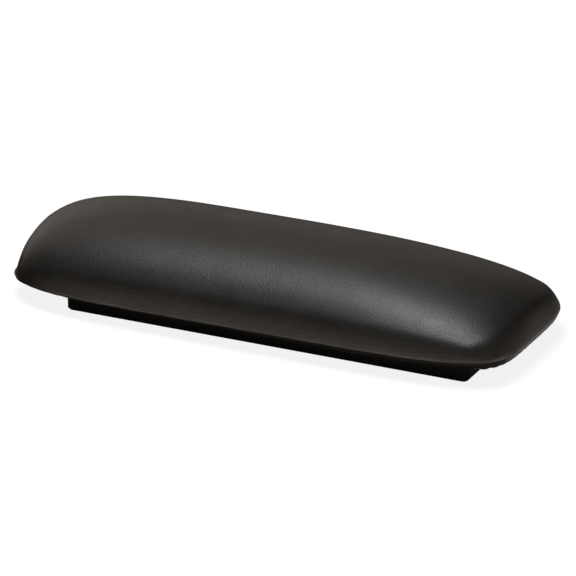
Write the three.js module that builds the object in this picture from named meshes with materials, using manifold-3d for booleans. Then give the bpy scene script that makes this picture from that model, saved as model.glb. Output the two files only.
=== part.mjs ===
// Office chair armrest pad: a soft, leather-covered cushion on a plywood core, closed underneath by a
// moulded plastic base tray. Four M6 tee nuts in the core take the bolts of the chair's arm.
//
// Millimetres. +X runs along the pad towards its blunt elbow end, -X towards the rolled hand end,
// +Y across the pad, +Z up. The origin is under the middle of the pad, on the plane of the tray's underside.
import * as THREE from "three";
import { mergeVertices } from "three/addons/utils/BufferGeometryUtils.js";
import Module from "manifold-3d";

// ---------- driving dimensions ----------
const PAD_LENGTH = 260; // overall, cover to cover
const PAD_WIDTH = 95.8; // nominal, before the slight taper
const PAD_HEIGHT = 43; // tray underside to the crown of the cushion
const TAPER = 0.036; // the elbow end is this share wider than the middle
const CORNER_HAND = 5.6; // plan roundness of the hand end: higher is squarer
const CORNER_ELBOW = 5.2;
const SECTION = 1.93; // crown of the cross-section: 2 is an ellipse
const ROLL_HAND = 4.2; // how late the top starts to roll down towards the hand end
const ROLL_HAND_ROOT = 3.3;
const ROLL_ELBOW = 2.83;
const ROLL_ELBOW_ROOT = 2.8;
const ARCH_HAND = 1.4; // fall of the top between the middle and the ends, before the roll
const ARCH_ELBOW = 2.0;
const WIDEST_HAND = 10.7; // height of the widest line at the hand end
const WIDEST_ELBOW = 14.4; // and at the elbow end
const UNDER_ROLL = 4.2; // how far the cushion tucks in below its widest line
const CORNER_SPACING = 70; // millimetres of straight outline that a radian of turn is worth, in points

const GAP = 0.3; // clearance left between pieces that touch
const COVER_T = 1.2; // leather cover
const COVER_BOTTOM = 8.8; // underside of the turned-in hem
const HEM_X0 = -91, HEM_X1 = 102, HEM_Y = 30; // window left by the hem
const HEM_R = 8;

const CORE_BOTTOM = 10.3; // plywood core
const CORE_T = 8;
const CORE_INSET = 7.5; // plan distance inside the pad's widest line

const TRAY_X = 6.4; // the tray sits nearer the elbow end
const TRAY_LENGTH = 209;
const TRAY_WIDTH = 74.6;
const TRAY_R = 3.2, TRAY_R_INSIDE = 1;
const TRAY_HEIGHT = 8.5;
const TRAY_FLOOR = 2.6;
const TRAY_WALL = 2.6;
const TRAY_FOOT_CHAMFER = 0.8;
const RIB_T = 1.8, LONG_RIB_TOP = 6.4, CROSS_RIB_TOP = 5.8;
const BOSS_TOP = 10;
const POCKET_DEPTH = 1, POCKET_R = 2.5;

const BOLT_PITCH_X = 100, BOLT_PITCH_Y = 40; // pattern of the four arm bolts
const BOLT_HOLE_D = 8; // clearance in the tray
const SLEEVE_D = 14;

const NUT_BARREL_D = 8, NUT_BORE_D = 5.1; // M6 tee nut, bore at the thread's minor diameter
const NUT_FLANGE_D = 18, NUT_FLANGE_T = 1.2, NUT_BARREL_BOTTOM = 10.6;
const NUT_PRONG = [2.6, 1.0, 4.2]; // wide, thick, long
const NUT_PRONG_R = 7.0;

const SCREW_PITCH_X = 88, SCREW_Y = 22; // six tray screws, 4 x 14 pan head
const SCREW_HEAD_D = 8, SCREW_HEAD_T = 2.4, SCREW_SHANK_D = 4, SCREW_HEAD_LOW = 0.5, SCREW_TIP = 17.1;
const COUNTERBORE_D = 9.4, COUNTERBORE_H = 3.2, SCREW_BOSS_D = 12.4, SCREW_HOLE_D = 4.8;

const STAPLE_CROWN = 10, STAPLE_W = 1.2, STAPLE_T = 0.6, STAPLE_TOP = 14.5, STAPLE_CROWN_LOW = 7.9;
const STAPLE_Y = 32.7, STAPLES_PER_SIDE = 7, STAPLE_X0 = -78, STAPLE_X1 = 89;
const STAPLE_END_HAND = -93.6, STAPLE_END_ELBOW = 104.9, STAPLE_END_Y = 12;

// ---------- solids ----------
const wasm = await Module();
wasm.setup();

// A three.js geometry as a manifold-3d solid, with its faces turned outwards.
function solid(geometry, matrix) {
  let g = geometry.index ? geometry.toNonIndexed() : geometry.clone();
  g = new THREE.BufferGeometry().setAttribute("position", g.getAttribute("position"));
  if (matrix) g.applyMatrix4(matrix);
  g = mergeVertices(g, 1e-4);
  const index = [];
  const src = g.index.array;
  for (let i = 0; i < src.length; i += 3) {
    const [a, b, c] = [src[i], src[i + 1], src[i + 2]];
    if (a !== b && b !== c && a !== c) index.push(a, b, c);
  }
  const position = g.attributes.position.array;
  const make = () =>
    new wasm.Manifold(new wasm.Mesh({ numProp: 3, vertProperties: new Float32Array(position), triVerts: new Uint32Array(index) }));
  let made = make();
  if (made.volume() < 0) {
    for (let i = 0; i < index.length; i += 3) [index[i + 1], index[i + 2]] = [index[i + 2], index[i + 1]];
    made = make();
  }
  return made;
}

const at = (x, y, z) => new THREE.Matrix4().makeTranslation(x, y, z);

function box(x0, x1, y0, y1, z0, z1) {
  return solid(new THREE.BoxGeometry(x1 - x0, y1 - y0, z1 - z0), at((x0 + x1) / 2, (y0 + y1) / 2, (z0 + z1) / 2));
}

// An upright cylinder or cone frustum.
function rod(x, y, z0, z1, d0, d1 = d0, segments = 20) {
  const g = new THREE.CylinderGeometry(d1 / 2, d0 / 2, z1 - z0, segments);
  g.rotateX(Math.PI / 2);
  return solid(g, at(x, y, (z0 + z1) / 2));
}

// A lathe-turned solid about an upright axis; the profile is [radius, height] pairs.
function turned(profile, segments = 20) {
  const g = new THREE.LatheGeometry(profile.map(([r, z]) => new THREE.Vector2(r, z)), segments);
  g.rotateX(Math.PI / 2);
  return solid(g);
}

// A rounded rectangle between two heights.
function slab(x0, x1, y0, y1, r, z0, z1, curve = 6) {
  const s = new THREE.Shape();
  s.moveTo(x0 + r, y0);
  s.lineTo(x1 - r, y0);
  s.absarc(x1 - r, y0 + r, r, -Math.PI / 2, 0);
  s.lineTo(x1, y1 - r);
  s.absarc(x1 - r, y1 - r, r, 0, Math.PI / 2);
  s.lineTo(x0 + r, y1);
  s.absarc(x0 + r, y1 - r, r, Math.PI / 2, Math.PI);
  s.lineTo(x0, y0 + r);
  s.absarc(x0 + r, y0 + r, r, Math.PI, 1.5 * Math.PI);
  return solid(new THREE.ExtrudeGeometry(s, { depth: z1 - z0, bevelEnabled: false, curveSegments: curve }), at(0, 0, z0));
}

// ---------- the cushion's outer form ----------
// Half-width of the widest line at x, for a form drawn in by inset.
function halfWidth(x, inset = 0) {
  const a = PAD_LENGTH / 2 - inset;
  const s = Math.min(1, Math.abs(x) / a);
  const n = x < 0 ? CORNER_HAND : CORNER_ELBOW;
  return (PAD_WIDTH / 2 - inset) * Math.pow(Math.max(0, 1 - Math.pow(s, n)), 1 / n) * (1 + (TAPER * x) / a);
}

const widestZ = (x) => WIDEST_HAND + ((WIDEST_ELBOW - WIDEST_HAND) * (x + PAD_LENGTH / 2)) / PAD_LENGTH;

// Height of the upper surface over a point of the plan.
function topZ(x, y, inset = 0) {
  const a = PAD_LENGTH / 2 - inset;
  const s = Math.min(1, Math.abs(x) / a);
  const hand = x < 0;
  const zw = widestZ(x);
  const crown = PAD_HEIGHT - inset - (hand ? ARCH_HAND : ARCH_ELBOW) * s * s;
  const k = hand ? ROLL_HAND : ROLL_ELBOW;
  const q = hand ? ROLL_HAND_ROOT : ROLL_ELBOW_ROOT;
  const ridge = zw + (crown - zw) * Math.pow(Math.max(0, 1 - Math.pow(s, k)), 1 / q);
  const b = halfWidth(x, inset);
  const across = b > 1e-9 ? Math.min(1, Math.abs(y) / b) : 1;
  return zw + (ridge - zw) * Math.pow(Math.max(0, 1 - Math.pow(across, SECTION)), 1 / SECTION);
}

// Points of the plan outline, closer together where it turns, going round from +X through +Y.
function outline(inset, count) {
  const a = PAD_LENGTH / 2 - inset;
  const fine = [];
  const steps = 1600;
  for (let i = 0; i <= steps; i++) {
    const t = (Math.PI * i) / steps;
    const n = Math.cos(t) < 0 ? CORNER_HAND : CORNER_ELBOW;
    const c = Math.abs(Math.cos(t)), si = Math.sin(t);
    const r = Math.pow(Math.pow(c / a, n) + Math.pow(si / (PAD_WIDTH / 2 - inset), n), -1 / n);
    const x = r * Math.cos(t);
    fine.push([x, halfWidth(x, inset)]);
  }
  fine[0] = [a, 0];
  fine[steps] = [-a, 0];
  const heading = (i) => Math.atan2(fine[i][1] - fine[i - 1][1], fine[i][0] - fine[i - 1][0]);
  const weight = [0];
  for (let i = 1; i <= steps; i++) {
    const length = Math.hypot(fine[i][0] - fine[i - 1][0], fine[i][1] - fine[i - 1][1]);
    const before = i > 1 ? heading(i - 1) : Math.PI / 2;
    const turn = Math.abs(Math.atan2(Math.sin(heading(i) - before), Math.cos(heading(i) - before)));
    weight.push(weight[i - 1] + length + CORNER_SPACING * turn);
  }
  const half = count / 2;
  const upper = [];
  let j = 0;
  for (let k = 0; k <= half; k++) {
    const want = (weight[steps] * k) / half;
    while (j < steps - 1 && weight[j + 1] < want) j++;
    const f = (want - weight[j]) / Math.max(1e-9, weight[j + 1] - weight[j]);
    upper.push([fine[j][0] + f * (fine[j + 1][0] - fine[j][0]), fine[j][1] + f * (fine[j + 1][1] - fine[j][1])]);
  }
  upper[0][1] = 0;
  upper[half][1] = 0;
  const lower = upper.slice(1, half).reverse().map(([x, y]) => [x, -y]);
  return [...upper, ...lower];
}

// The closed form of the cushion, drawn in by inset, with a flat underside at bottom.
function cushionForm(inset, bottom, count = 60, rings = 9, roll = 4) {
  const loop = outline(inset, count);
  const a = PAD_LENGTH / 2 - inset, b = PAD_WIDTH / 2 - inset;
  const points = [[0, 0, topZ(0, 0, inset)]];
  for (let j = 1; j <= rings; j++) {
    const rho = j === rings ? 1 : Math.sin((Math.PI / 2) * (j / rings));
    for (const [x, y] of loop) points.push([rho * x, rho * y, j === rings ? widestZ(x) : topZ(rho * x, rho * y, inset)]);
  }
  for (let j = 1; j <= roll; j++) {
    const t = (Math.PI / 2) * (j / roll);
    const tuck = UNDER_ROLL * (1 - Math.cos(t));
    for (const [x, y] of loop) {
      const zw = widestZ(x);
      points.push([x * (1 - tuck / a), y * (1 - tuck / b), zw - (zw - bottom) * Math.sin(t)]);
    }
  }
  points.push([0, 0, bottom]);
  const index = [];
  const ring = (j, i) => 1 + j * count + ((i + count) % count);
  const last = rings + roll - 1;
  for (let i = 0; i < count; i++) {
    index.push(0, ring(0, i), ring(0, i + 1));
    for (let j = 0; j < last; j++) {
      index.push(ring(j, i), ring(j + 1, i), ring(j + 1, i + 1), ring(j, i), ring(j + 1, i + 1), ring(j, i + 1));
    }
    index.push(ring(last, i), points.length - 1, ring(last, i + 1));
  }
  const g = new THREE.BufferGeometry();
  g.setAttribute("position", new THREE.Float32BufferAttribute(points.flat(), 3));
  g.setIndex(index);
  return solid(g);
}

// ---------- fastener places ----------
const bolts = [-1, 1].flatMap((i) => [-1, 1].map((j) => [TRAY_X + (i * BOLT_PITCH_X) / 2, (j * BOLT_PITCH_Y) / 2]));
const screws = [-1, 0, 1].flatMap((i) => [-1, 1].map((j) => [TRAY_X + i * SCREW_PITCH_X, j * SCREW_Y]));
const staples = [];
for (const side of [-1, 1])
  for (let i = 0; i < STAPLES_PER_SIDE; i++)
    staples.push([STAPLE_X0 + ((STAPLE_X1 - STAPLE_X0) * i) / (STAPLES_PER_SIDE - 1), side * STAPLE_Y, "x"]);
for (const x of [STAPLE_END_HAND, STAPLE_END_ELBOW]) for (const side of [-1, 1]) staples.push([x, side * STAPLE_END_Y, "y"]);

// One staple: a flat crown under the hem and two legs driven up into the core.
function stapleForm([x, y, along]) {
  const h = STAPLE_CROWN / 2, t = STAPLE_T, z0 = STAPLE_CROWN_LOW;
  const u = [[-h, z0], [h, z0], [h, STAPLE_TOP], [h - t, STAPLE_TOP], [h - t, z0 + t], [t - h, z0 + t], [t - h, STAPLE_TOP], [-h, STAPLE_TOP]];
  const g = new THREE.ExtrudeGeometry(new THREE.Shape(u.map(([a, b]) => new THREE.Vector2(a, b))), { depth: STAPLE_W, bevelEnabled: false });
  g.translate(0, 0, -STAPLE_W / 2);
  g.rotateX(Math.PI / 2);
  if (along === "y") g.rotateZ(Math.PI / 2);
  return solid(g, at(x, y, 0));
}
const stapleHoles = (list) =>
  list.flatMap(([x, y, along]) => {
    const half = STAPLE_CROWN / 2, w = STAPLE_W / 2 + GAP;
    return [-half, half - STAPLE_T].map((u) =>
      along === "x"
        ? box(x + u - GAP, x + u + STAPLE_T + GAP, y - w, y + w, 7.5, STAPLE_TOP + GAP)
        : box(x - w, x + w, y + u - GAP, y + u + STAPLE_T + GAP, 7.5, STAPLE_TOP + GAP),
    );
  });

const cut = (from, tools) => tools.reduce((m, t) => m.subtract(t), from);
const join = (first, more) => more.reduce((m, t) => m.add(t), first);

// ---------- cover: one skin of leather, its hem turned in under the core ----------
let cover = cushionForm(0, COVER_BOTTOM);
cover = cover.subtract(cushionForm(COVER_T, COVER_BOTTOM + COVER_T));
cover = cover.subtract(slab(HEM_X0, HEM_X1, -HEM_Y, HEM_Y, HEM_R, COVER_BOTTOM - 1, COVER_BOTTOM + COVER_T + 0.4));
cover = cut(cover, stapleHoles(staples));

// ---------- foam: moulded cushion, hollowed underneath to fit over the core ----------
const coreOutline = (grow, z0, z1) => {
  const inset = CORE_INSET - grow;
  const loop = outline(inset, 44);
  const s = new THREE.Shape(loop.map(([x, y]) => new THREE.Vector2(x, y)));
  return solid(new THREE.ExtrudeGeometry(s, { depth: z1 - z0, bevelEnabled: false }), at(0, 0, z0));
};
const coreTop = CORE_BOTTOM + CORE_T;
let foam = cushionForm(COVER_T + GAP + 0.1, CORE_BOTTOM);
foam = foam.subtract(coreOutline(GAP, CORE_BOTTOM - 1, coreTop + GAP));

// ---------- core: plywood board that carries the foam, the hem's staples and the tee nuts ----------
function nutForm([x, y], grow = 0) {
  const flangeLow = coreTop - GAP - NUT_FLANGE_T;
  const parts = [rod(x, y, flangeLow - grow, coreTop - GAP + grow + (grow ? 1 : 0), NUT_FLANGE_D + 2 * grow, NUT_FLANGE_D + 2 * grow, 20)];
  parts.push(rod(x, y, grow ? CORE_BOTTOM - 1 : NUT_BARREL_BOTTOM, flangeLow + 0.4, NUT_BARREL_D + 2 * grow, NUT_BARREL_D + 2 * grow, 16));
  for (let k = 0; k < 4; k++) {
    const [w, t, l] = NUT_PRONG;
    const dx = Math.round(Math.cos((k * Math.PI) / 2)) * NUT_PRONG_R, dy = Math.round(Math.sin((k * Math.PI) / 2)) * NUT_PRONG_R;
    const hx = (dx ? t : w) / 2 + grow, hy = (dx ? w : t) / 2 + grow;
    parts.push(box(x + dx - hx, x + dx + hx, y + dy - hy, y + dy + hy, flangeLow - l - grow, flangeLow + 0.4));
  }
  return join(parts[0], parts.slice(1));
}
let core = coreOutline(0, CORE_BOTTOM, coreTop);
core = cut(core, bolts.map((b) => nutForm(b, GAP)));
core = cut(core, screws.map(([x, y]) => rod(x, y, CORE_BOTTOM - 1, SCREW_TIP + GAP, SCREW_SHANK_D + 2 * GAP, SCREW_SHANK_D + 2 * GAP, 14)));
core = cut(core, stapleHoles(staples));

// ---------- tray: moulded base, a floor with a raised rim, ribs, screw bosses and bolt sleeves ----------
const tx0 = TRAY_X - TRAY_LENGTH / 2, tx1 = TRAY_X + TRAY_LENGTH / 2, ty = TRAY_WIDTH / 2;
const foot = TRAY_FOOT_CHAMFER;
// the foot steps in round the underside's edge
let tray = slab(tx0, tx1, -ty, ty, TRAY_R, foot, TRAY_HEIGHT, 7).add(
  slab(tx0 + foot, tx1 - foot, -ty + foot, ty - foot, TRAY_R - foot, 0, foot + 0.2, 7),
);
tray = tray.subtract(
  slab(tx0 + TRAY_WALL, tx1 - TRAY_WALL, -ty + TRAY_WALL, ty - TRAY_WALL, TRAY_R_INSIDE, TRAY_FLOOR, TRAY_HEIGHT + 1, 2),
);
const ribs = [];
for (const y of [-9, 9]) ribs.push(box(tx0 + 1.5, tx1 - 1.5, y - RIB_T / 2, y + RIB_T / 2, TRAY_FLOOR - 0.5, LONG_RIB_TOP));
for (const x of [-74, -24, 24, 74]) ribs.push(box(TRAY_X + x - RIB_T / 2, TRAY_X + x + RIB_T / 2, -ty + 1.5, ty - 1.5, TRAY_FLOOR - 0.7, CROSS_RIB_TOP));
tray = join(tray, ribs);
tray = join(tray, bolts.map(([x, y]) => rod(x, y, TRAY_FLOOR - 0.5, BOSS_TOP, SLEEVE_D, SLEEVE_D, 20)));
tray = join(tray, screws.map(([x, y]) => rod(x, y, TRAY_FLOOR - 0.5, BOSS_TOP, SCREW_BOSS_D, SCREW_BOSS_D, 20)));
tray = cut(tray, bolts.map(([x, y]) => rod(x, y, -1, BOSS_TOP + 1, BOLT_HOLE_D, BOLT_HOLE_D, 20)));
tray = cut(tray, screws.map(([x, y]) => rod(x, y, -1, COUNTERBORE_H, COUNTERBORE_D, COUNTERBORE_D, 20)));
tray = cut(tray, screws.map(([x, y]) => rod(x, y, 0, BOSS_TOP + 1, SCREW_HOLE_D, SCREW_HOLE_D, 14)));
// shallow pockets in the underside, clear of the screws and of the two flat lands that seat on the arm
const pocket = (u0, u1, y0, y1) => slab(TRAY_X + u0, TRAY_X + u1, y0, y1, POCKET_R, -1, POCKET_DEPTH, 3);
const pockets = [pocket(-33, -2, -8, 8), pocket(2, 33, -8, 8), pocket(-98, -66, -8, 8), pocket(66, 98, -8, 8)];
for (const [y0, y1] of [[12, 32], [-32, -12]])
  for (const [u0, u1] of [[-33, -9], [9, 33], [-80, -66], [66, 80]]) pockets.push(pocket(u0, u1, y0, y1));
tray = cut(tray, pockets);

// ---------- screw: pan head with a cross recess, tapering to a point ----------
function screwForm([x, y]) {
  const low = SCREW_HEAD_LOW, seat = low + SCREW_HEAD_T, r = SCREW_SHANK_D / 2, R = SCREW_HEAD_D / 2;
  const body = turned(
    [[0, low], [R * 0.55, low], [R * 0.86, low + 0.45], [R, low + 1.3], [R, seat], [r, seat], [r, SCREW_TIP - 3.2], [0, SCREW_TIP]],
    16,
  ).translate([x, y, 0]);
  const arm = 2.15, half = 0.5, deep = low + 1.5;
  const cross = box(x - arm, x + arm, y - half, y + half, low - 1, deep).add(box(x - half, x + half, y - arm, y + arm, low - 1, deep));
  return body.subtract(cross);
}

// ---------- the assembly ----------
const pad = new THREE.Group();
const leather = new THREE.MeshStandardMaterial({ color: 0x26231f, roughness: 0.42, metalness: 0 });
const foamStuff = new THREE.MeshStandardMaterial({ color: 0xd9cfae, roughness: 0.95, metalness: 0 });
const plywood = new THREE.MeshStandardMaterial({ color: 0xb98f5a, roughness: 0.7, metalness: 0 });
const plastic = new THREE.MeshStandardMaterial({ color: 0x0b0b0c, roughness: 0.55, metalness: 0 });
const zinc = new THREE.MeshStandardMaterial({ color: 0xb8b9b4, roughness: 0.35, metalness: 1 });
const blackSteel = new THREE.MeshStandardMaterial({ color: 0x1b1b1d, roughness: 0.4, metalness: 0.9 });
const wire = new THREE.MeshStandardMaterial({ color: 0xa9abab, roughness: 0.35, metalness: 1 });

function place(name, form, material) {
  const m = form.getMesh();
  const v = new Float32Array(m.numVert * 3);
  for (let i = 0; i < m.numVert; i++) v.set(m.vertProperties.subarray(i * m.numProp, i * m.numProp + 3), i * 3);
  const g = new THREE.BufferGeometry();
  g.setAttribute("position", new THREE.BufferAttribute(v, 3));
  g.setIndex(new THREE.BufferAttribute(new Uint32Array(m.triVerts), 1));
  g.computeVertexNormals();
  const mesh = new THREE.Mesh(g, material);
  mesh.name = name;
  pad.add(mesh);
}

place("leather_cover", cover, leather);
place("foam_cushion", foam, foamStuff);
place("plywood_core", core, plywood);
place("base_tray", tray, plastic);

const end = (x) => (x < TRAY_X - 1 ? "hand" : x > TRAY_X + 1 ? "elbow" : "middle");
const sideName = (y) => (y < 0 ? "right" : "left");
for (const b of bolts) {
  let nut = nutForm(b).subtract(rod(b[0], b[1], 0, 30, NUT_BORE_D, NUT_BORE_D, 16));
  place(`tee_nut_${end(b[0])}_${sideName(b[1])}`, nut, zinc);
}
for (const s of screws) place(`tray_screw_${end(s[0])}_${sideName(s[1])}`, screwForm(s), blackSteel);
staples.forEach((s, i) => {
  const where = s[2] === "y" ? end(s[0]) + "_end" : sideName(s[1]);
  const number = s[2] === "y" ? (i % 2) + 1 : (i % STAPLES_PER_SIDE) + 1;
  place(`hem_staple_${where}_${number}`, stapleForm(s), wire);
});

export default pad;
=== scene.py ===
import bpy, bmesh, math
import numpy as np
from mathutils import Vector, Matrix


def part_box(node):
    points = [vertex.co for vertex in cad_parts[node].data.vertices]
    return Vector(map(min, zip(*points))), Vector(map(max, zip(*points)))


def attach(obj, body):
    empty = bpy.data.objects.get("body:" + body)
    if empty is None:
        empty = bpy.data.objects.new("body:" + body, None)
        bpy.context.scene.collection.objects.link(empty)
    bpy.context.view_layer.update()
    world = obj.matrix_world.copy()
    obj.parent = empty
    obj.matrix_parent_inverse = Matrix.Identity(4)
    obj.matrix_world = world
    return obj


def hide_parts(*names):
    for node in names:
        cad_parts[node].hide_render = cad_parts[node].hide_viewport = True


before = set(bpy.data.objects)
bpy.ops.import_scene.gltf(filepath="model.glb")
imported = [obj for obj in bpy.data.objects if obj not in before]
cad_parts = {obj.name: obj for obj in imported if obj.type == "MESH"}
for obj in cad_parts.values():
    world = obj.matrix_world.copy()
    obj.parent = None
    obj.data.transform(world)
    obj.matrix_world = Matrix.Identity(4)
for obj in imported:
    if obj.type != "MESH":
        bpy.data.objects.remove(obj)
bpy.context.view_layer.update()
scene = bpy.context.scene

MM = 0.001

# ------------------------------------------------------------------ the cushion's outer form, as in the CAD
LO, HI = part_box("leather_cover")
A = (HI.x - LO.x) / 2                       # half length
W2 = 0.0479                                 # half width before the taper
H = HI.z                                    # crown
BOTTOM = LO.z                               # underside of the hem
N_HAND, N_ELBOW = 5.6, 5.2
SECTION = 1.93
K_HAND, Q_HAND = 4.2, 3.3
K_ELBOW, Q_ELBOW = 2.83, 2.8
ARCH_HAND, ARCH_ELBOW = 1.4 * MM, 2.0 * MM
WIDE_HAND, WIDE_ELBOW = 10.7 * MM, 14.4 * MM
TUCK = 4.2 * MM
TAPER = 0.036
SKIN = 1.2 * MM
# the window that the turned-in hem leaves
HEM_X0, HEM_X1, HEM_Y, HEM_R = -91 * MM, 102 * MM, 30 * MM, 8 * MM
TRAY_LO, TRAY_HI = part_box("base_tray")
SAG = 0.8 * MM


def smoothstep(x, a, b):
    t = np.clip((x - a) / (b - a), 0, 1)
    return t * t * (3 - 2 * t)


def half_width(x):
    s = np.minimum(1.0, np.abs(x) / A)
    n = np.where(x < 0, N_HAND, N_ELBOW)
    return W2 * np.maximum(0.0, 1 - s ** n) ** (1 / n) * (1 + TAPER * x / A)


def widest_z(x):
    return WIDE_HAND + (WIDE_ELBOW - WIDE_HAND) * (x + A) / (2 * A)


def top_z(x, y):
    s = np.minimum(1.0, np.abs(x) / A)
    zw = widest_z(x)
    crown = H - np.where(x < 0, ARCH_HAND, ARCH_ELBOW) * s * s
    k = np.where(x < 0, K_HAND, K_ELBOW)
    q = np.where(x < 0, Q_HAND, Q_ELBOW)
    ridge = zw + (crown - zw) * np.maximum(0.0, 1 - s ** k) ** (1 / q)
    b = np.maximum(half_width(x), 1e-9)
    t = np.minimum(1.0, np.abs(y) / b)
    return zw + (ridge - zw) * np.maximum(0.0, 1 - t ** SECTION) ** (1 / SECTION)


# ------------------------------------------------------------------ a quad grid over the crown, rings down its sides
NU, NV = 56, 22                             # cells along and across the crown


def outline_fine(steps=4000):
    """The plan outline's +Y half, from +X round to -X, as points."""
    t = np.linspace(0, math.pi, steps + 1)
    n = np.where(np.cos(t) < 0, N_HAND, N_ELBOW)
    c, s = np.abs(np.cos(t)), np.sin(t)
    r = ((c / A) ** n + (s / W2) ** n) ** (-1 / n)
    x = r * np.cos(t)
    y = half_width(x)
    x[0], x[-1] = A, -A
    y[0] = y[-1] = 0.0
    return np.stack([x, y], 1)


def resample(pts, count):
    """count + 1 points evenly along a polyline."""
    d = np.r_[0, np.cumsum(np.linalg.norm(np.diff(pts, axis=0), axis=1))]
    w = np.linspace(0, d[-1], count + 1)
    return np.stack([np.interp(w, d, pts[:, k]) for k in range(pts.shape[1])], 1)


def split_outline():
    f = outline_fine()
    corner = []
    for sign, n in ((1, N_ELBOW), (-1, N_HAND)):
        x = sign * A * 2 ** (-1 / n)
        corner.append(int(np.argmin(np.abs(f[:, 0] - x))))
    e, h = corner
    long_side = resample(f[e:h + 1][::-1], NU)              # from hand to elbow, +Y
    elbow_half = f[:e + 1]                                  # from y = 0 up to the corner
    hand_half = f[h:][::-1]
    elbow = np.r_[(elbow_half * [1, -1])[::-1], elbow_half[1:]]
    hand = np.r_[(hand_half * [1, -1])[::-1], hand_half[1:]]
    return long_side, resample(hand, NV), resample(elbow, NV)


def crown_grid():
    """Plan positions (NU + 1, NV + 1, 2) of the crown's grid, with cells of even size on the curved surface."""
    side, hand, elbow = split_outline()
    c1 = side                                               # +Y side
    c0 = side * [1, -1]
    u = np.linspace(0, 1, NU + 1)[:, None, None]
    v = np.linspace(0, 1, NV + 1)[None, :, None]
    p = (1 - v) * c0[:, None] + v * c1[:, None] + (1 - u) * hand[None] + u * elbow[None]
    p -= (1 - u) * (1 - v) * c0[0] + u * (1 - v) * c0[-1] + (1 - u) * v * c1[0] + u * v * c1[-1]
    for _ in range(1000):                                   # even out the lengths of the edges
        z = top_z(p[..., 0], p[..., 1])
        q = np.dstack([p, z])
        c = q[1:-1, 1:-1]
        num, den = 0, 0
        for nb in (q[2:, 1:-1], q[:-2, 1:-1], q[1:-1, 2:], q[1:-1, :-2]):
            w = np.linalg.norm(nb - c, axis=-1, keepdims=True) ** 1.5 + 1e-9
            num, den = num + w * nb[..., :2], den + w
        p[1:-1, 1:-1] = 0.7 * p[1:-1, 1:-1] + 0.3 * num / den
    return p


GRID = crown_grid()


def loop_indices():
    """Indices (i, j) round the grid's edge, anticlockwise from above, starting at the hand end's -Y corner."""
    a = [(i, 0) for i in range(NU)] + [(NU, j) for j in range(NV)]
    b = [(i, NV) for i in range(NU, 0, -1)] + [(0, j) for j in range(NV, 0, -1)]
    return a + b


LOOP = loop_indices()
NL = len(LOOP)


def window_loop(x0, x1, yh, r):
    """The window's outline, one point for each point of LOOP, corner to corner."""
    def arc(cx, cy, a0, a1):
        t = np.linspace(a0, a1, 24)
        return np.stack([cx + r * np.cos(t), cy + r * np.sin(t)], 1)
    # the four corners, each cut at its middle
    q = math.pi / 4
    mm_ = arc(x0 + r, -yh + r, 5 * q, 6 * q), arc(x0 + r, -yh + r, 4 * q, 5 * q)
    em_ = arc(x1 - r, -yh + r, -2 * q, -q), arc(x1 - r, -yh + r, -q, 0)
    ep_ = arc(x1 - r, yh - r, 0, q), arc(x1 - r, yh - r, q, 2 * q)
    mp_ = arc(x0 + r, yh - r, 2 * q, 3 * q), arc(x0 + r, yh - r, 3 * q, 4 * q)
    near = np.r_[mm_[0], em_[0]]
    right = np.r_[em_[1], ep_[0]]
    far = np.r_[ep_[1], mp_[0]]
    left = np.r_[mp_[1], mm_[1]]
    return np.r_[resample(near, NU)[:-1], resample(right, NV)[:-1], resample(far, NU)[:-1], resample(left, NV)[:-1]]


ROLL = 5                                    # rings from the widest line down to the hem
HEM = 5                                     # rings across the hem to its cut edge


def roll_ring(x, y, t, bottom, tuck=TUCK):
    zw = widest_z(x)
    k = tuck * (1 - np.cos(t))
    return x * (1 - k / A), y * (1 - k / W2), zw - (zw - bottom) * np.sin(t)


def cover_points(inset):
    """Rest shape of the cover, slightly slack: the crown is drawn in, the hem is where it is stapled."""
    x, y = GRID[..., 0], GRID[..., 1]
    z = top_z(x, y)
    rise = np.clip((z - widest_z(x)) / (H - WIDE_HAND), 0, 1)
    top = np.dstack([x, y, z - inset * rise ** 0.7])
    pts = [top.reshape(-1, 3)]
    lx = np.array([x[i, j] for i, j in LOOP])
    ly = np.array([y[i, j] for i, j in LOOP])
    for k in range(1, ROLL + 1):
        rx, ry, rz = roll_ring(lx, ly, math.pi / 2 * k / ROLL, BOTTOM)
        pts.append(np.stack([rx, ry, rz], 1))
    win = window_loop(HEM_X0, HEM_X1, HEM_Y, HEM_R)
    start = pts[-1][:, :2]
    for k in range(1, HEM + 1):
        f = k / HEM
        xy = start * (1 - f) + win * f
        pts.append(np.c_[xy, np.full(NL, BOTTOM)])
    pts = np.concatenate(pts)
    # past the tray's elbow end nothing holds the rim up, and it hangs a little lower
    zw = widest_z(pts[:, 0])
    over = smoothstep(pts[:, 0], TRAY_HI.x + 1.5 * MM, TRAY_HI.x + 10 * MM)
    pts[:, 2] -= SAG * over * smoothstep(zw - pts[:, 2], 0.0, 0.8 * (zw - BOTTOM))
    return pts


def cover_faces():
    vid = lambda i, j: i * (NV + 1) + j
    faces = [(vid(i, j), vid(i + 1, j), vid(i + 1, j + 1), vid(i, j + 1)) for i in range(NU) for j in range(NV)]
    base = (NU + 1) * (NV + 1)
    ring = [[vid(i, j) for i, j in LOOP]] + [[base + k * NL + m for m in range(NL)] for k in range(ROLL + HEM)]
    for a, b in zip(ring, ring[1:]):
        for m in range(NL):
            n = (m + 1) % NL
            faces.append((a[m], b[m], b[n], a[n]))
    return faces, ring


def new_mesh(name, pts, faces):
    me = bpy.data.meshes.new(name)
    me.from_pydata([tuple(map(float, p)) for p in pts], [], [tuple(map(int, f)) for f in faces])
    me.update()
    ob = bpy.data.objects.new(name, me)
    scene.collection.objects.link(ob)
    return ob


def coords(me):
    co = np.zeros(len(me.vertices) * 3, np.float32)
    me.vertices.foreach_get("co", co)
    return co.reshape(-1, 3).astype(float)


def set_coords(me, co):
    me.vertices.foreach_set("co", np.ascontiguousarray(co, np.float32).ravel())
    me.update()


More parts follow.
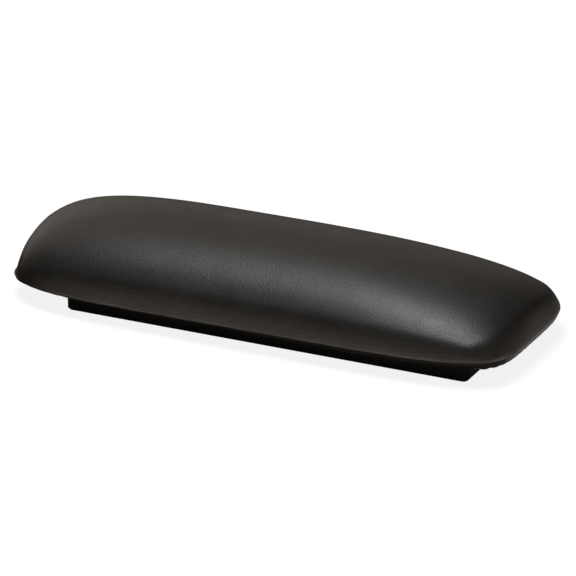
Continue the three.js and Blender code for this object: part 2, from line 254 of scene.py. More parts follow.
def normals(me):
    me.update()
    no = np.zeros(len(me.vertices) * 3, np.float32)
    me.vertex_normals.foreach_get("vector", no)
    return no.reshape(-1, 3).astype(float)


# ------------------------------------------------------------------ the cover: cloth under pressure over the foam
def simulate(pts, faces, frames=24, cap=5 * MM):
    """The cover's skin as cloth, fixed where the hem is stapled and blown out from a slack start until it is taut."""
    ob = new_mesh("cover_sim", pts, faces)
    pin = ob.vertex_groups.new(name="pin")
    base = (NU + 1) * (NV + 1)
    for k in range(ROLL + HEM):
        w = min(1.0, 0.15 + 0.85 * (k + 1) / ROLL)
        pin.add([base + k * NL + m for m in range(NL)], w, "REPLACE")
    mod = ob.modifiers.new("Cloth", "CLOTH")
    s = mod.settings
    s.quality = 6
    s.mass = 0.02
    s.tension_stiffness = s.compression_stiffness = 18
    s.shear_stiffness = 10
    s.bending_stiffness = 3
    s.tension_damping = s.compression_damping = s.shear_damping = 8
    s.use_pressure = True
    s.uniform_pressure_force = 60
    s.effector_weights.gravity = 0
    s.vertex_group_mass = "pin"
    s.pin_stiffness = 1.0
    mod.collision_settings.use_collision = False
    mod.collision_settings.use_self_collision = False
    mod.point_cache.frame_start, mod.point_cache.frame_end = 1, frames
    for f in range(1, frames + 1):
        scene.frame_set(f)
    dg = bpy.context.evaluated_depsgraph_get()
    got = coords(ob.evaluated_get(dg).data)
    scene.frame_set(1)
    bpy.data.objects.remove(ob)
    move = got - pts
    length = np.linalg.norm(move, axis=1)
    move *= (np.minimum(length, cap) / np.maximum(length, 1e-12))[:, None]
    print("cover cloth: moved at most", round(float(length.max()) * 1000, 2), "mm, on average", round(float(length.mean()) * 1000, 2), "mm")
    return pts + move


def subdivided(pts, faces, levels, creases=()):
    """(points, faces) of a smooth subdivision."""
    ob = new_mesh("subdivide", pts, faces)
    if creases:
        at = ob.data.attributes.new("crease_edge", "FLOAT", "EDGE")
        sharp = {tuple(sorted(e)) for e in creases}
        at.data.foreach_set("value", [1.0 if tuple(sorted(e.vertices)) in sharp else 0.0 for e in ob.data.edges])
    mod = ob.modifiers.new("Subsurf", "SUBSURF")
    mod.levels = mod.render_levels = levels
    mod.boundary_smooth = "ALL"
    dg = bpy.context.evaluated_depsgraph_get()
    me = ob.evaluated_get(dg).to_mesh()
    p = coords(me)
    f = [tuple(q.vertices) for q in me.polygons]
    bpy.data.objects.remove(ob)
    return p, f


def face_normals_to_points(pts, faces):
    """Unit normals at the points of a quad or triangle mesh, weighted by area."""
    q = np.array([f if len(f) == 4 else (*f, f[0]) for f in faces])
    n = np.cross(pts[q[:, 2]] - pts[q[:, 0]], pts[q[:, 3]] - pts[q[:, 1]])
    out = np.zeros_like(pts)
    for k in range(4):
        np.add.at(out, q[:, k], n)
    return out / np.maximum(np.linalg.norm(out, axis=1, keepdims=True), 1e-20)


def hash3(i, j, k):
    h = np.sin(i * 127.1 + j * 311.7 + k * 74.7) * 43758.5453
    return h - np.floor(h)


def value_noise(p):
    """Smooth noise in -1..1 over points, one unit to a cell."""
    i = np.floor(p)
    f = p - i
    f = f * f * (3 - 2 * f)
    out = 0
    for a in (0, 1):
        for b in (0, 1):
            for c in (0, 1):
                w = (f[:, 0] if a else 1 - f[:, 0]) * (f[:, 1] if b else 1 - f[:, 1]) * (f[:, 2] if c else 1 - f[:, 2])
                out = out + w * hash3(i[:, 0] + a, i[:, 1] + b, i[:, 2] + c)
    return out * 2 - 1


def through(pts, faces, rounds=2):
    """Control points whose smooth surface passes through pts, so that the cushion keeps its size."""
    want, out = pts, pts.copy()
    for _ in range(rounds):
        got = subdivided(out, faces, 1)[0][:len(pts)]
        out = out + (want - got)
    return out


faces, rings = cover_faces()
target = cover_points(0.0)
moved = simulate(cover_points(2.2 * MM), faces) - target
# hide is stiffer than the cloth: single points don't stand out from the ones around them
ends_ = np.array([(f[k], f[(k + 1) % 4]) for f in faces for k in range(4)])
for _ in range(12):
    total, count_ = np.zeros_like(moved), np.zeros(len(moved))
    np.add.at(total, ends_[:, 0], moved[ends_[:, 1]])
    np.add.at(total, ends_[:, 1], moved[ends_[:, 0]])
    np.add.at(count_, ends_[:, 0], 1)
    np.add.at(count_, ends_[:, 1], 1)
    moved = 0.5 * moved + 0.5 * total / count_[:, None]
# the moulded foam inside holds the taut skin near its own form
form = target + 0.45 * moved

# ------------------------------------------------------------------ the cover's surface in full: gathers under the corners
skin, skin_faces = subdivided(through(form, faces), faces, 2)
print("skin box", np.round(skin.min(0) * 1000, 2), np.round(skin.max(0) * 1000, 2))
nrm = face_normals_to_points(skin, skin_faces)

fine = outline_fine(3000)
fine = np.r_[fine, (fine * [1, -1])[::-1][1:-1]]
around = np.r_[0, np.cumsum(np.linalg.norm(np.diff(fine, axis=0), axis=1))]


def place_on_outline(xy):
    """For each plan point, the distance round the outline of its nearest point there, and how far in it lies."""
    s, d = np.zeros(len(xy)), np.zeros(len(xy))
    for a in range(0, len(xy), 4000):
        g = np.linalg.norm(xy[a:a + 4000, None] - fine[None, ::4], axis=2)
        k = g.argmin(1)
        s[a:a + 4000], d[a:a + 4000] = around[::4][k], g[np.arange(len(k)), k]
    return s, d


def outside_tray(xy):
    """How far plan points lie outside the tray's outline; negative within it."""
    return np.maximum(np.maximum(TRAY_LO.x - xy[:, 0], xy[:, 0] - TRAY_HI.x), np.maximum(TRAY_LO.y - xy[:, 1], xy[:, 1] - TRAY_HI.y))


below = skin[:, 2] < widest_z(skin[:, 0]) + 1.5 * MM
low = np.where(below)[0]
sp, inward = place_on_outline(skin[low, :2])
x, y, z = skin[low].T
# where round the outline the leather has to be gathered: the four corners, more at the squarer turns
corner_x = np.where(x < 0, -A + 21 * MM, A - 19 * MM)
turn = np.exp(-(((x - corner_x) / (19 * MM)) ** 2)) * smoothstep(np.abs(y), 14 * MM, 34 * MM)
end_face = smoothstep(np.abs(x), A - 16 * MM, A - 4 * MM) * (1 - 0.75 * smoothstep(np.abs(y), 20 * MM, 34 * MM))
gather = np.clip(turn + 0.35 * end_face, 0, 1)
depth = smoothstep(widest_z(x) - z, -0.5 * MM, widest_z(x) - BOTTOM) ** 0.8
over_tray = 1 - smoothstep(outside_tray(skin[low, :2]), 0.2 * MM, 4.0 * MM)
# folds of uneven width: rounded between sharp valleys
warp = sp / (6.4 * MM) + 0.33 * np.sin(sp / (17 * MM)) + 0.25 * np.sin(sp / (7.3 * MM) + 1.3)
cell = np.floor(warp)
fold = np.abs(np.sin(math.pi * warp)) ** 0.55
strength = 0.55 + 0.45 * hash3(cell, cell * 0 + 3, cell * 0)
# the folds start under the rim, so that the pad's outline stays smooth from above
under = smoothstep(inward, 0.5 * MM, 3.2 * MM) * (skin[low, 2] < widest_z(x))
push = (fold - 0.88) * 1.15 * MM * strength * gather * depth * under * (1 - over_tray)
# a faint pull towards each staple along the straight sides
scallop = 0.10 * MM * np.cos(2 * math.pi * x / (27.8 * MM)) * (1 - gather) * depth * (1 - over_tray)
skin[low] += nrm[low] * (push + scallop)[:, None]
# slow unevenness of hide over foam
lump = 0.10 * MM * value_noise(skin / (31 * MM)) + 0.045 * MM * value_noise(skin / (13 * MM) + 7.7)
fade = smoothstep(skin[:, 2], BOTTOM + 0.3 * MM, BOTTOM + 6 * MM)
skin += nrm * (lump * fade)[:, None]
nrm = face_normals_to_points(skin, skin_faces)


def boundary_loop(faces):
    """The one open edge of a mesh, as directed pairs in the direction of its faces."""
    seen = {}
    for f in faces:
        for a, b in zip(f, f[1:] + f[:1]):
            seen[(a, b)] = True
    return [(a, b) for a, b in seen if (b, a) not in seen]


def shell(pts, faces, nrm, thick):
    n = len(pts)
    inner = pts - nrm * thick
    f = list(faces) + [tuple(n + v for v in reversed(q)) for q in faces]
    f += [(b, a, n + a, n + b) for a, b in boundary_loop(faces)]
    return np.r_[pts, inner], f


thick = SKIN * (1 - 0.12 * smoothstep(skin[:, 2], BOTTOM + 2 * MM, BOTTOM + 8 * MM))
sp_, sf_ = shell(skin, skin_faces, nrm, thick[:, None])
cover = new_mesh("cushion_cover", sp_, sf_)
cover.data.polygons.foreach_set("use_smooth", [True] * len(cover.data.polygons))
edge = {tuple(sorted(e)) for e in boundary_loop(skin_faces)}
n_skin = len(skin)
edge |= {tuple(sorted((a + n_skin, b + n_skin))) for a, b in edge}
sharp = cover.data.attributes.new("sharp_edge", "BOOLEAN", "EDGE")
sharp.data.foreach_set("value", [tuple(sorted(e.vertices)) in edge for e in cover.data.edges])
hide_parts("leather_cover")
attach(cover, "root")

# ------------------------------------------------------------------ the foam: the same form, inside the skin, hollowed to fit the core
CORE_LO, CORE_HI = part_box("plywood_core")
base = (NU + 1) * (NV + 1)
clear = 0.35 * MM
n0 = face_normals_to_points(form, faces)
foam_out = (form - n0 * (SKIN + clear))[:base + ROLL * NL]
foam_out[base:, 2] = np.maximum(foam_out[base:, 2], CORE_LO.z + 0.02 * MM)
kx, ky = (A - 7.5 * MM + 0.4 * MM) / A, (W2 - 7.5 * MM + 0.4 * MM) / W2
lx = np.array([GRID[i, j, 0] for i, j in LOOP]) * kx
ly = np.array([GRID[i, j, 1] for i, j in LOOP]) * ky
ceiling = CORE_HI.z + 0.35 * MM
foot = foam_out[base + (ROLL - 1) * NL:, 2]
ring_a = np.stack([lx, ly, np.minimum(foot, CORE_LO.z + 0.4 * MM)], 1)
ring_b = np.stack([lx, ly, np.full(NL, (CORE_LO.z + ceiling) / 2)], 1)
inner_grid = np.dstack([GRID[..., 0] * kx, GRID[..., 1] * ky, np.full((NU + 1, NV + 1), ceiling)]).reshape(-1, 3)
foam_pts = np.r_[foam_out, ring_a, ring_b, inner_grid]
o_a, o_b, o_g = len(foam_out), len(foam_out) + NL, len(foam_out) + 2 * NL
vid = lambda i, j: i * (NV + 1) + j
foam_faces = [f for f in faces if max(f) < len(foam_out)]
last = [base + (ROLL - 1) * NL + m for m in range(NL)]
ra, rb = [o_a + m for m in range(NL)], [o_b + m for m in range(NL)]
rg = [o_g + vid(i, j) for i, j in LOOP]
for r0, r1 in ((last, ra), (ra, rb), (rb, rg)):
    for m in range(NL):
        n = (m + 1) % NL
        foam_faces.append((r0[m], r1[m], r1[n], r0[n]))
foam_faces += [tuple(o_g + v for v in (vid(i, j), vid(i, j + 1), vid(i + 1, j + 1), vid(i + 1, j))) for i in range(NU) for j in range(NV)]
crease = [(r[m], r[(m + 1) % NL]) for r in (ra, rg, last) for m in range(NL)]
fp, ff = subdivided(foam_pts, foam_faces, 1, crease)
foam = new_mesh("foam_body", fp, ff)
foam.data.polygons.foreach_set("use_smooth", [True] * len(foam.data.polygons))
foam.data.set_sharp_from_angle(angle=math.radians(50))
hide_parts("foam_cushion")
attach(foam, "root")

# ------------------------------------------------------------------ materials
class Look:
    """A Principled material built from nodes on object coordinates, in metres."""

    def __init__(self, name, colour, roughness, metallic=0.0, specular=0.5):
        self.m = bpy.data.materials.new(name)
        self.m.use_nodes = True
        self.nt = self.m.node_tree
        self.b = self.nt.nodes["Principled BSDF"]
        self.b.inputs["Base Color"].default_value = (*colour, 1)
        self.b.inputs["Roughness"].default_value = roughness
        self.b.inputs["Metallic"].default_value = metallic
        self.b.inputs["Specular IOR Level"].default_value = specular
        self.at = self.new("TexCoord").outputs["Object"]

    def new(self, kind, **props):
        n = self.nt.nodes.new("ShaderNode" + kind)
        for k, v in props.items():
            setattr(n, k, v)
        return n

    def put(self, socket, value):
        if isinstance(value, bpy.types.NodeSocket):
            self.nt.links.new(value, socket)
        else:
            socket.default_value = value

    def math(self, op, a, b=0.0, c=0.0, clamp=False):
        n = self.new("Math", operation=op, use_clamp=clamp)
        for k, v in enumerate((a, b, c)):
            self.put(n.inputs[k], v)
        return n.outputs[0]

    def vector(self, op, a, b):
        n = self.new("VectorMath", operation=op)
        self.put(n.inputs[0], a)
        self.put(n.inputs["Scale"] if op == "SCALE" else n.inputs[1], b)
        return n.outputs[0]

    def stretched(self, scale, at=None):
        return self.vector("MULTIPLY", at or self.at, scale)

    def noise(self, size, detail=3.0, rough=0.5, distort=0.0, at=None, colour=False):
        n = self.new("TexNoise")
        self.put(n.inputs["Vector"], at or self.at)
        self.put(n.inputs["Scale"], 1 / size)
        self.put(n.inputs["Detail"], detail)
        self.put(n.inputs["Roughness"], rough)
        self.put(n.inputs["Distortion"], distort)
        return n.outputs["Color" if colour else "Fac"]

    def cells(self, size, feature="DISTANCE_TO_EDGE", at=None, smooth=None, random=1.0):
        n = self.new("TexVoronoi", feature=feature)
        self.put(n.inputs["Vector"], at or self.at)
        self.put(n.inputs["Scale"], 1 / size)
        self.put(n.inputs["Randomness"], random)
        if smooth is not None:
            self.put(n.inputs["Smoothness"], smooth)
        return n.outputs["Distance"]

    def span(self, value, a, b, lo=0.0, hi=1.0, smooth=True):
        n = self.new("MapRange", interpolation_type="SMOOTHSTEP" if smooth else "LINEAR")
        for k, v in (("Value", value), ("From Min", a), ("From Max", b), ("To Min", lo), ("To Max", hi)):
            self.put(n.inputs[k], v)
        return n.outputs["Result"]

    def blend(self, fac, a, b, how="MIX"):
        n = self.new("Mix", data_type="RGBA", blend_type=how)
        self.put(n.inputs["Factor"], fac)
        sockets = [i for i in n.inputs if i.type == "RGBA"]
        for socket, v in zip(sockets, (a, b)):
            self.put(socket, v if isinstance(v, bpy.types.NodeSocket) else (*v, 1))
        return [o for o in n.outputs if o.type == "RGBA"][0]

    def axes(self, at=None):
        n = self.new("SeparateXYZ")
        self.put(n.inputs[0], at or self.at)
        return n.outputs

    def bump(self, height, distance, strength=1.0, under=None):
        n = self.new("Bump")
        self.put(n.inputs["Height"], height)
        self.put(n.inputs["Distance"], distance)
        self.put(n.inputs["Strength"], strength)
        if under is not None:
            self.put(n.inputs["Normal"], under)
        return n.outputs["Normal"]

    def finish(self, colour=None, roughness=None, normal=None):
        for name, v in (("Base Color", colour), ("Roughness", roughness), ("Normal", normal)):
            if v is not None:
                self.put(self.b.inputs[name], v)
        return self.m


def leather():
    g = Look("cover_leather", (0.0058, 0.0050, 0.0043), 0.42)
    # pebbles of uneven size, drifting in size and direction over the hide
    drift = g.vector("SUBTRACT", g.noise(9 * MM, 2, colour=True), (0.5, 0.5, 0.5))
    at = g.vector("ADD", g.at, g.vector("SCALE", drift, 1.1 * MM))
    wobble = g.vector("SUBTRACT", g.noise(1.1 * MM, 2, colour=True), (0.5, 0.5, 0.5))
    at = g.vector("ADD", at, g.vector("SCALE", wobble, 0.34 * MM))
    pebble = g.span(g.cells(1.25 * MM, at=at), 0.0, 0.30)
    small = g.span(g.cells(0.55 * MM, at=at), 0.0, 0.26)
    fibre = g.noise(0.16 * MM, 3, 0.6)
    grain = g.math("ADD", g.math("MULTIPLY", pebble, 0.62), g.math("MULTIPLY", small, 0.26))
    grain = g.math("ADD", grain, g.math("MULTIPLY", fibre, 0.12))
    # hair pores in loose groups
    pore = g.span(g.cells(0.8 * MM, "F1", at=at), 0.05, 0.17, 1.0, 0.0)
    pore = g.math("MULTIPLY", pore, g.span(g.noise(7 * MM, 2), 0.50, 0.64))
    grain = g.math("SUBTRACT", grain, g.math("MULTIPLY", pore, 0.35))
    # fine creases that run across the pad, where the hide is bent over its edges
    crease = g.noise(2.3 * MM, 4, 0.6, 1.2, at=g.vector("ADD", g.stretched((1.0, 0.5, 0.5)), g.vector("SCALE", drift, 4 * MM)))
    crease = g.math("ABSOLUTE", g.math("SUBTRACT", crease, 0.5))
    crease = g.span(crease, 0.0, 0.012, 1.0, 0.0)
    height = g.axes()[2]
    bent = g.math("MULTIPLY", crease, g.span(height, 18 * MM, 10 * MM))
    bent = g.math("MULTIPLY", bent, g.span(g.noise(12 * MM, 2), 0.50, 0.66))
    swell = g.noise(24 * MM, 2, 0.4)
    n = g.bump(swell, 0.30 * MM, 0.3)
    n = g.bump(bent, 0.02 * MM, 0.35, n)
    n = g.bump(grain, 0.05 * MM, 0.75, n)
    # colour: drifting slowly, browner and paler where hands and sleeves rub it, with painted shade in the grain's
    # valleys and pores
    tone = g.blend(g.span(g.noise(26 * MM, 4, 0.55), 0.3, 0.7), (0.0045, 0.0038, 0.0032), (0.0071, 0.0061, 0.0052))
    rub = g.math("MULTIPLY", g.span(height, 30 * MM, 43 * MM), g.span(g.noise(11 * MM, 5, 0.6), 0.44, 0.70))
    tone = g.blend(g.math("MULTIPLY", rub, 0.45), tone, (0.0135, 0.0112, 0.0092))
    # painted shade: the grain's valleys and pores darkened
    valley = g.math("SUBTRACT", 1.0, grain)
    tone = g.blend(g.math("MULTIPLY", valley, 0.55), tone, (0.0019, 0.0016, 0.0014))
    r = g.span(g.noise(13 * MM, 4, 0.6), 0.25, 0.75, 0.385, 0.445)
    r = g.math("ADD", r, g.math("MULTIPLY", valley, 0.05))
    r = g.math("SUBTRACT", r, g.math("MULTIPLY", rub, 0.035))
    return g.finish(tone, r, n)


def leather_back():
    """The flesh side and cut edges of the hide: a short grey-brown nap."""
    g = Look("cover_backing", (0.10, 0.075, 0.055), 0.92, specular=0.2)
    nap = g.noise(0.25 * MM, 4, 0.7)
    tone = g.blend(g.noise(6 * MM, 4), (0.075, 0.056, 0.041), (0.13, 0.10, 0.075))
    tone = g.blend(g.math("MULTIPLY", nap, 0.4), tone, (0.04, 0.03, 0.022))
    return g.finish(tone, g.span(nap, 0.2, 0.8, 0.86, 0.98), g.bump(nap, 0.12 * MM, 0.7))


def foam_material():
    g = Look("foam_polyurethane", (0.70, 0.60, 0.40), 0.95, specular=0.15)
    at = g.vector("ADD", g.at, g.vector("SCALE", g.noise(0.8 * MM, 2, colour=True), 0.2 * MM))
    cell = g.span(g.cells(0.62 * MM, at=at), 0.0, 0.22, 1.0, 0.0)
    fine = g.span(g.cells(0.3 * MM, at=at), 0.0, 0.2, 1.0, 0.0)
    strut = g.math("ADD", g.math("MULTIPLY", cell, 0.65), g.math("MULTIPLY", fine, 0.35))
    tone = g.blend(g.noise(30 * MM, 3), (0.66, 0.55, 0.34), (0.76, 0.67, 0.47))
    # painted shade: darker in the cell hollows between the struts
    tone = g.blend(g.math("MULTIPLY", g.math("SUBTRACT", 1.0, strut), 0.35), tone, (0.40, 0.31, 0.16))
    # painted shade: darker in the blow holes
    blow = g.span(g.cells(4.2 * MM, "F1"), 0.08, 0.16, 1.0, 0.0)
    tone = g.blend(g.math("MULTIPLY", blow, 0.5), tone, (0.36, 0.28, 0.15))
    height = g.math("SUBTRACT", strut, g.math("MULTIPLY", blow, 1.4))
    return g.finish(tone, g.span(strut, 0.0, 1.0, 0.98, 0.86), g.bump(height, 0.16 * MM, 0.8))


def plywood():
    """Five birch plies, their grain turned in turn, with dark glue lines between."""
    g = Look("plywood_birch", (0.48, 0.30, 0.14), 0.66, specular=0.35)
    x, y, z = g.axes()
    level = g.math("DIVIDE", g.math("SUBTRACT", z, CORE_LO.z), (CORE_HI.z - CORE_LO.z) / 5)
    across = g.math("GREATER_THAN", g.math("PINGPONG", g.math("FLOOR", level), 1.0), 0.5)
    along = g.noise(1.0, 5, 0.62, 0.25, at=g.stretched((45.0, 900.0, 900.0)))
    cross = g.noise(1.0, 5, 0.62, 0.25, at=g.stretched((900.0, 45.0, 900.0)))
    n = g.new("Mix", data_type="FLOAT")
    g.put(n.inputs["Factor"], across)
    floats = [i for i in n.inputs if i.type == "VALUE" and i.name in ("A", "B")]
    g.put(floats[0], along)
    g.put(floats[1], cross)
    grain = n.outputs[0]
    tone = g.blend(grain, (0.34, 0.20, 0.085), (0.66, 0.46, 0.25))
    tone = g.blend(g.math("MULTIPLY", across, 0.35), tone, (0.30, 0.17, 0.07))
    vessel = g.span(g.noise(1.0, 2, at=g.stretched((160.0, 3200.0, 3200.0))), 0.62, 0.70)
    tone = g.blend(g.math("MULTIPLY", vessel, 0.5), tone, (0.13, 0.07, 0.03))
    part = g.math("FRACT", level)
    glue = g.math("MINIMUM", part, g.math("SUBTRACT", 1.0, part))
    glue = g.span(glue, 0.03, 0.09, 1.0, 0.0)
    inside = g.math("MULTIPLY", g.span(level, 0.3, 0.5), g.span(level, 4.7, 4.5))
    glue = g.math("MULTIPLY", glue, inside)
    tone = g.blend(glue, tone, (0.06, 0.032, 0.015))
    rough = g.span(grain, 0.2, 0.8, 0.60, 0.76)
    h = g.math("SUBTRACT", grain, g.math("MULTIPLY", vessel, 0.8))
    return g.finish(tone, rough, g.bump(h, 0.12 * MM, 0.6))


def tray_plastic():
    """Matt moulded polypropylene: a spark-eroded texture, faint flow marks and a few rub marks."""
    g = Look("tray_plastic", (0.0035, 0.0035, 0.0036), 0.68, specular=0.07)
    x, y, z = g.axes()
    spark = g.noise(0.34 * MM, 4, 0.62)
    pit = g.span(g.cells(0.42 * MM, "F1"), 0.10, 0.42)
    texture = g.math("ADD", g.math("MULTIPLY", spark, 0.7), g.math("MULTIPLY", pit, 0.3))
    flow = g.noise(1.0, 3, 0.5, 0.8, at=g.stretched((22.0, 60.0, 60.0)))
    scratch = g.noise(1.0, 2, 0.5, 0.3, at=g.stretched((35.0, 1500.0, 1500.0)))
    scratch = g.math("MULTIPLY", g.span(scratch, 0.70, 0.76), g.span(g.noise(24 * MM, 2), 0.50, 0.62))
    foot = g.span(z, 1.2 * MM, 0.05 * MM)
    scratch = g.math("MULTIPLY", scratch, foot)
    dust = g.math("MULTIPLY", g.span(g.noise(3.0 * MM, 5, 0.7), 0.55, 0.75), g.span(g.noise(30 * MM, 2), 0.42, 0.62))
    tone = g.blend(g.span(flow, 0.3, 0.7), (0.0026, 0.0026, 0.0027), (0.0042, 0.0042, 0.0043))
    tone = g.blend(g.math("MULTIPLY", scratch, 0.7), tone, (0.022, 0.022, 0.023))
    tone = g.blend(g.math("MULTIPLY", dust, 0.12), tone, (0.05, 0.046, 0.04))
    r = g.span(texture, 0.25, 0.75, 0.74, 0.60)
    r = g.math("SUBTRACT", r, g.math("MULTIPLY", scratch, 0.15))
    n = g.bump(flow, 0.10 * MM, 0.3)
    n = g.bump(texture, 0.035 * MM, 0.8, n)
    return g.finish(tone, r, g.bump(scratch, -0.02 * MM, 0.6, n))


def plated(name, bright, dull, low, high):
    """Zinc plating: a fine crystalline bloom, cloudier in places, with burnished marks."""
    g = Look(name, bright, (low + high) / 2, metallic=1.0)
    bloom = g.noise(2.2 * MM, 5, 0.65)
    spangle = g.cells(0.7 * MM, "F1")
    mark = g.noise(1.0, 3, 0.6, at=g.stretched((300.0, 300.0, 2600.0)))
    tone = g.blend(g.span(bloom, 0.3, 0.7), bright, dull)
    tone = g.blend(g.math("MULTIPLY", g.span(mark, 0.58, 0.70), 0.3), tone, tuple(min(1.0, c * 1.25) for c in bright))
    r = g.math("ADD", g.span(bloom, 0.25, 0.75, low, high), g.math("MULTIPLY", spangle, 0.04))
    n = g.bump(spangle, 0.01 * MM, 0.4)
    return g.finish(tone, r, g.bump(mark, 0.012 * MM, 0.5, n))


def phosphate():
    """Black phosphate on steel, thin and slightly brown where tools and threads have rubbed."""
    g = Look("screw_black_steel", (0.030, 0.029, 0.029), 0.46, metallic=0.85)
    crystal = g.noise(0.18 * MM, 3, 0.7)
    cloud = g.noise(1.6 * MM, 4, 0.6)
    sharp = g.new("NewGeometry").outputs["Pointiness"]
    worn = g.math("MULTIPLY", g.span(sharp, 0.53, 0.62), g.span(cloud, 0.35, 0.62))
    tone = g.blend(cloud, (0.020, 0.019, 0.020), (0.042, 0.040, 0.039))
    tone = g.blend(worn, tone, (0.19, 0.18, 0.165))
    r = g.span(crystal, 0.2, 0.8, 0.38, 0.56)
    r = g.math("SUBTRACT", r, g.math("MULTIPLY", worn, 0.12))
    return g.finish(tone, r, g.bump(crystal, 0.012 * MM, 0.7))


m_leather, m_back, m_foam = leather(), leather_back(), foam_material()
m_ply, m_tray, m_screw = plywood(), tray_plastic(), phosphate()
m_nut = plated("tee_nut_zinc", (0.66, 0.66, 0.62), (0.50, 0.51, 0.49), 0.24, 0.40)
m_wire = plated("staple_zinc", (0.60, 0.61, 0.61), (0.44, 0.45, 0.46), 0.28, 0.44)


def paint(ob, *mats):
    ob.data.materials.clear()
    for m in mats:
        ob.data.materials.append(m)


paint(cover, m_leather, m_back)
inner = np.zeros(len(cover.data.polygons), np.int32)
inner[len(skin_faces):] = 1                 # the flesh side and the cut edge
cover.data.polygons.foreach_set("material_index", inner)
paint(foam, m_foam)
paint(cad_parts["plywood_core"], m_ply)

# ------------------------------------------------------------------ hard pieces, in finer detail than the CAD solids
def finished(ob, node, slot, *mats, angle=38):
    """Puts a made piece in the place of its CAD node."""
    me = ob.data
    me.polygons.foreach_set("use_smooth", [True] * len(me.polygons))
    if angle:
        me.set_sharp_from_angle(angle=math.radians(angle))
    paint(ob, *mats)
    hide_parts(node)
    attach(ob, "root")
    return ob


def centre(node):
    lo_, hi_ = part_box(node)
    return (lo_ + hi_) / 2, lo_, hi_


def ring_mesh(name, rings_, poles=(None, None)):
    """A closed surface from rings of equal count, in order, with a point at either end or joined end to start."""
    count = len(rings_[0])
    pts = [p for r in rings_ for p in r]
    fs = []
    for k in range(len(rings_) - 1):
        for m in range(count):
            n = (m + 1) % count
            fs.append((k * count + m, k * count + n, (k + 1) * count + n, (k + 1) * count + m))
    if poles[0] is None:
        k = len(rings_) - 1
        for m in range(count):
            n = (m + 1) % count
            fs.append((k * count + m, k * count + n, n, m))
    else:
        a, b_ = len(pts), len(pts) + 1
        pts += [poles[0], poles[1]]
        k = (len(rings_) - 1) * count
        for m in range(count):
            n = (m + 1) % count
            fs.append((n, m, a))
            fs.append((k + m, k + n, b_))
    ob = new_mesh(name, pts, fs)
    bm = bmesh.new()
    bm.from_mesh(ob.data)
    bmesh.ops.recalc_face_normals(bm, faces=bm.faces)
    bm.to_mesh(ob.data)
    bm.free()
    return ob


def thread(turn, root, crest):
    """Radius of a rounded V thread at a place along its pitch, 0..1."""
    t = turn - math.floor(turn)
    v = 1 - abs(2 * t - 1)
    v = min(1.0, max(0.0, (v - 0.12) / 0.76))
    return root + (crest - root) * v * v * (3 - 2 * v)


# the tray: the CAD solid with its edges broken, as they come from a mould
def broken_edges(node, name, width, angle, segments=2):
    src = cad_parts[node].data
    bm = bmesh.new()
    bm.from_mesh(src)
    bmesh.ops.remove_doubles(bm, verts=bm.verts, dist=0.004 * MM)
    bmesh.ops.dissolve_limit(bm, angle_limit=math.radians(0.6), verts=bm.verts, edges=bm.edges)
    me = bpy.data.meshes.new(name)
    for e in bm.edges:
        e.smooth = True
    bm.to_mesh(me)
    bm.free()
    ob = bpy.data.objects.new(name, me)
    scene.collection.objects.link(ob)
    mod = ob.modifiers.new("Bevel", "BEVEL")
    mod.width = width
    mod.segments = segments
    mod.limit_method = "ANGLE"
    mod.angle_limit = math.radians(angle)
    mod.use_clamp_overlap = True
    mod.harden_normals = False
    mod.miter_outer = "MITER_ARC"
    dg_ = bpy.context.evaluated_depsgraph_get()
    out = bpy.data.meshes.new_from_object(ob.evaluated_get(dg_))
    out.name = name
    ob.modifiers.clear()
    ob.data = out
    return ob


def flat_faces_stay_flat(me, soft=38):
    """Split normals: a flat face keeps its own, and a broken edge or a round wall runs smoothly into it."""
    count = len(me.polygons)
    face_n = np.array([tuple(p.normal) for p in me.polygons])
    area_ = np.array([p.area for p in me.polygons])
    flat = (np.abs(face_n).max(1) > 0.9998) & (area_ > 0.6 * MM * MM)
    of_vertex = [[] for _ in me.vertices]
    for p in me.polygons:
        for v in p.vertices:
            of_vertex[v].append(p.index)
    limit = math.cos(math.radians(soft))
    out = []
    for p in me.polygons:
        n = face_n[p.index]
        for v in p.vertices:
            if flat[p.index]:
                out.append(n)
                continue
            near_ = [q for q in of_vertex[v] if float(face_n[q] @ n) > limit]
            level = [q for q in near_ if flat[q]]
            if level:
                best = max(level, key=lambda q: float(face_n[q] @ n))
                out.append(face_n[best])
            else:
                t = sum(face_n[q] * area_[q] for q in near_)
                out.append(t / np.linalg.norm(t))
    for p in me.polygons:
        p.use_smooth = True
    me.normals_split_custom_set([tuple(map(float, n)) for n in out])


tray = broken_edges("base_tray", "tray_body", 0.22 * MM, 32)
finished(tray, "base_tray", "tray", m_tray, angle=None)
flat_faces_stay_flat(tray.data)


